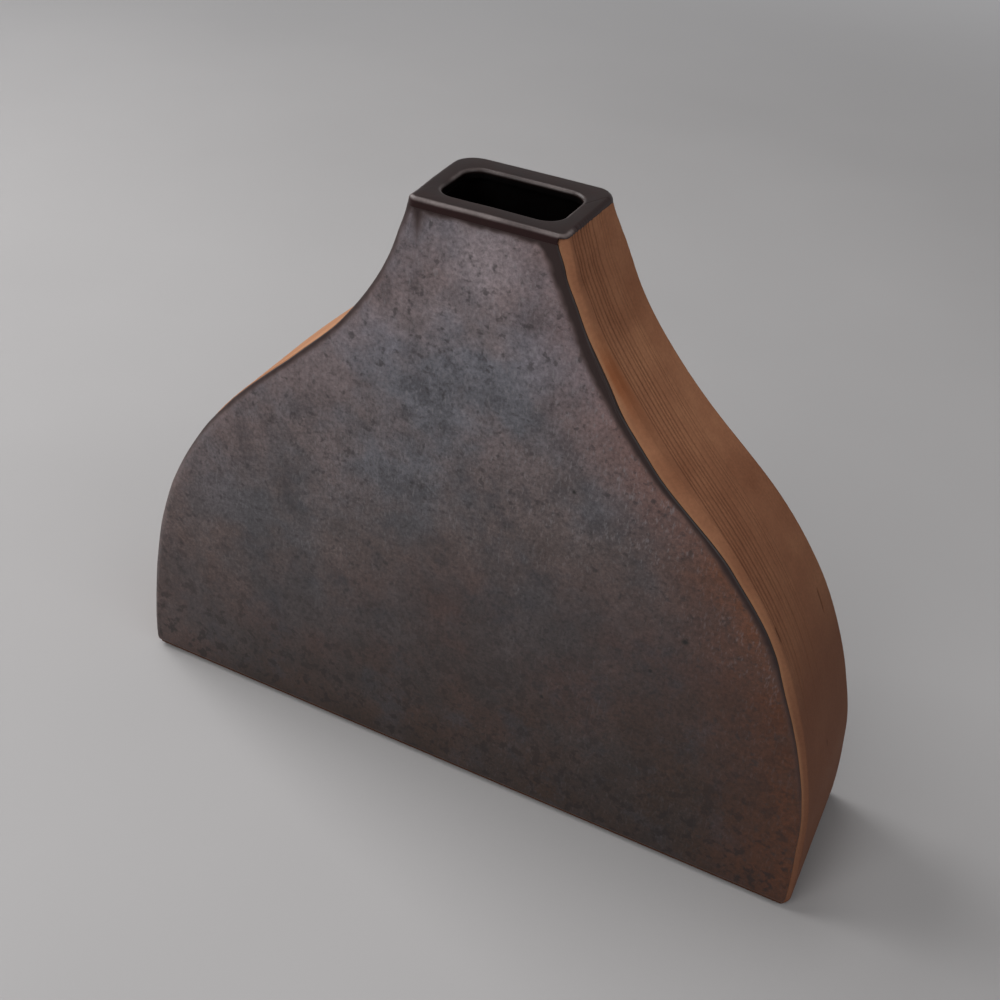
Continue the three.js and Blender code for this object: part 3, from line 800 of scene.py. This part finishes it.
# painted highlight on the front edge only, varied by the wear
front_lip_highlight = wear_and_highlight * ease(depth, -11, -15)
rolled = np.minimum(RIM_ROUND, HEIGHT - border - 0.06)
rings, thin, outer = [], [], []
for share in np.linspace(0, 1, 5)[:-1]:
    z = border + (HEIGHT - rolled - border) * share
    rings.append(np.column_stack([outside(z, 0.0), z - sag * share]))
    thin.append(0 * wear_and_highlight)
    outer.append(1 + 0 * wear_and_highlight)
for a in np.linspace(0, math.pi / 2, 10):
    z = HEIGHT - rolled * (1 - math.sin(a))
    rings.append(np.column_stack([outside(z, RIM_ROUND * (1 - math.cos(a))), z - sag]))
    thin.append(0.8 * math.sin(2 * a) ** 2 * front_lip_highlight)
    outer.append(math.cos(a) + 0 * wear_and_highlight)
for a in np.linspace(0, math.pi / 2, 10):
    z = HEIGHT - MOUTH_ROUND * (1 - math.cos(a))
    rings.append(np.column_stack([mouth(MOUTH_ROUND * (1 - math.sin(a))), z - sag]))
    # painted highlight round the mouth's rounded edge
    thin.append(0.5 * math.sin(2 * a) ** 2 * wear_and_highlight)
    outer.append(0 * wear_and_highlight)
rings.append(np.column_stack([mouth(0.0), WALL_TOP + 0.2 + 0 * sag]))
thin.append(0 * wear_and_highlight)
outer.append(0 * wear_and_highlight)
ring = loft("rim_ring_glazed", rings, joined=True, crisp=70, thin=np.array(thin), outer=np.array(outer))
settle(ring, "rim_ring", rim_glaze)

# %% [markdown]
# Inside and underneath
#
# The lining, the seam coils and the floor show only through the mouth or from below. Their CAD shapes are
# right as they are, so they keep them and get the finishes of the rim glaze and the bare clay. The rim
# glaze's painted shade makes the lining almost black.

# %% Carried-over pieces
for node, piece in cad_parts.items():
    # the lining gets the rim glaze, whose painted shade makes it almost black
    finish = rim_glaze if node == "liner_glaze" else clay
    if node == "liner_glaze" or node == "base_slab" or node.startswith("seam_coil"):
        piece.data.materials.clear()
        piece.data.materials.append(finish)
print("lining, floor and coils have their finishes")

# %% [markdown]
# Table
#
# The vase stands on a pale matt table. A plane is enough, because the table keeps the shadow and nothing
# else. Far from the vase it fades into the colour of the pale room. Light Path limits that to what the
# eye sees, directly, mirrored or through glass, so the fade adds no light to the vase.

# %% Table
ROOM, ROOM_LIGHT, ROOM_SEEN = "#f1f0f2", 0.13, 0.4
FADE_FROM, FADE_TO, REACH = 500, 1400, 6.0


def seen_rays(tree):
    """1 for rays that show the room to the eye and 0 for those that carry its light."""
    seen = add(tree, "LightPath", out="Is Camera Ray")
    for ray in ("Is Glossy Ray", "Is Transmission Ray"):
        seen = add(tree, "Math", {0: seen, 1: add(tree, "LightPath", out=ray)}, operation="MAXIMUM")
    return seen


table_finish, tree, place = new_finish("pale_matt_table")
cloud = add(tree, "TexNoise", {"Vector": place, "Scale": 1 / 300, "Detail": 3})
body = add(tree, "ValToRGB", {"Fac": cloud}, stops=[(0.3, "#a3a1a1"), (0.7, "#aaa8a8")])
skin = add(tree, "BsdfPrincipled", {"Base Color": body, "Roughness": 0.7})
far = add(tree, "VectorMath", {0: place}, "Value", operation="LENGTH")
far = add(tree, "MapRange", {0: far, 1: FADE_FROM, 2: FADE_TO}, interpolation_type="SMOOTHSTEP")
far = add(tree, "Math", {0: far, 1: seen_rays(tree)}, operation="MULTIPLY")
haze = add(tree, "Emission", {"Color": ROOM, "Strength": ROOM_SEEN})
skin = add(tree, "MixShader", {0: far, 1: skin, 2: haze})
add(tree, "OutputMaterial", {"Surface": skin})
table_mesh = bpy.data.meshes.new("table_top")
corners = [(-REACH, -REACH, 0), (REACH, -REACH, 0), (REACH, REACH, 0), (-REACH, REACH, 0)]
table_mesh.from_pydata(corners, [], [(0, 1, 2, 3)])
table = bpy.data.objects.new("table_top", table_mesh)
bpy.context.scene.collection.objects.link(table)
table_mesh.materials.append(table_finish)
print(f"table: {2 * REACH:.0f} m wide, fades from {FADE_FROM} to {FADE_TO} mm")

# %% [markdown]
# Room and lamps
#
# Soft light comes from the left, as from a window, and a dimmer room all round fills the shade. Large
# square area lamps give soft borders to the shadows. Their power is set so that a colour on the table
# shows about as it is written.

# %% Room and lamps
world = bpy.data.worlds.new("soft_room")
bpy.context.scene.world = world
world.use_nodes = True
tree = world.node_tree
tree.nodes.clear()
strength = add(tree, "MapRange", {0: seen_rays(tree), 3: ROOM_LIGHT, 4: ROOM_SEEN})
room = add(tree, "Background", {"Color": ROOM, "Strength": strength})
add(tree, "OutputWorld", {"Surface": room})


def lamp(name, place, aim, size, power):
    """A square soft light at a place, turned to a point, both in metres."""
    light = bpy.data.lights.new(name, "AREA")
    light.size, light.energy = size, power
    holder = bpy.data.objects.new(name, light)
    holder.location = place
    holder.rotation_euler = (Vector(aim) - Vector(place)).to_track_quat("-Z", "Y").to_euler()
    bpy.context.scene.collection.objects.link(holder)


lamp("window_left", (-1.0, 0.05, 0.95), (0, 0, 0.1), 0.9, 14)
lamp("room_front", (-0.35, -1.3, 1.2), (0, 0, 0.1), 1.0, 10)
lamp("room_right", (1.2, -0.5, 1.0), (0, 0, 0.1), 1.0, 5)
lamp("ceiling", (-0.3, 0.2, 1.4), (0, 0, 0.2), 0.4, 3)
print(len(bpy.data.lights), "lamps and the room are set")

# %% [markdown]
# Camera
#
# The camera was worked out from the photograph: it looks down at the vase from the front right, a little
# rolled, from about 40 cm. Its place comes from an azimuth and an elevation round the vase.

# %% Camera
AZIMUTH, ELEVATION, ROLL = 23.935, 36.228, 4.305
TARGET_MM, DISTANCE_MM = (1.867, 0, 97.192), 408.707
FOCAL_PX, PICTURE_PX, SENSOR_MM = 1286, 1000, 36
azimuth, elevation, roll = (math.radians(a) for a in (AZIMUTH, ELEVATION, ROLL))
away = math.cos(elevation)
back = Vector((math.sin(azimuth) * away, -math.cos(azimuth) * away, math.sin(elevation)))
right = Vector((math.cos(azimuth), math.sin(azimuth), 0))
up = back.cross(right)
right, up = (math.cos(roll) * right + math.sin(roll) * up, math.cos(roll) * up - math.sin(roll) * right)
spot = Vector(TARGET_MM) * MM + back * DISTANCE_MM * MM
lens = bpy.data.cameras.new("camera")
lens.sensor_width = SENSOR_MM
lens.lens = SENSOR_MM * FOCAL_PX / PICTURE_PX
lens.clip_start = 0.01
camera = bpy.data.objects.new("camera", lens)
turned = Matrix((right, up, back)).transposed().to_4x4()
turned.translation = spot
camera.matrix_world = turned
bpy.context.scene.collection.objects.link(camera)
bpy.context.scene.camera = camera
bpy.context.scene.view_settings.view_transform = "Standard"
print("camera at", [round(c, 3) for c in spot])
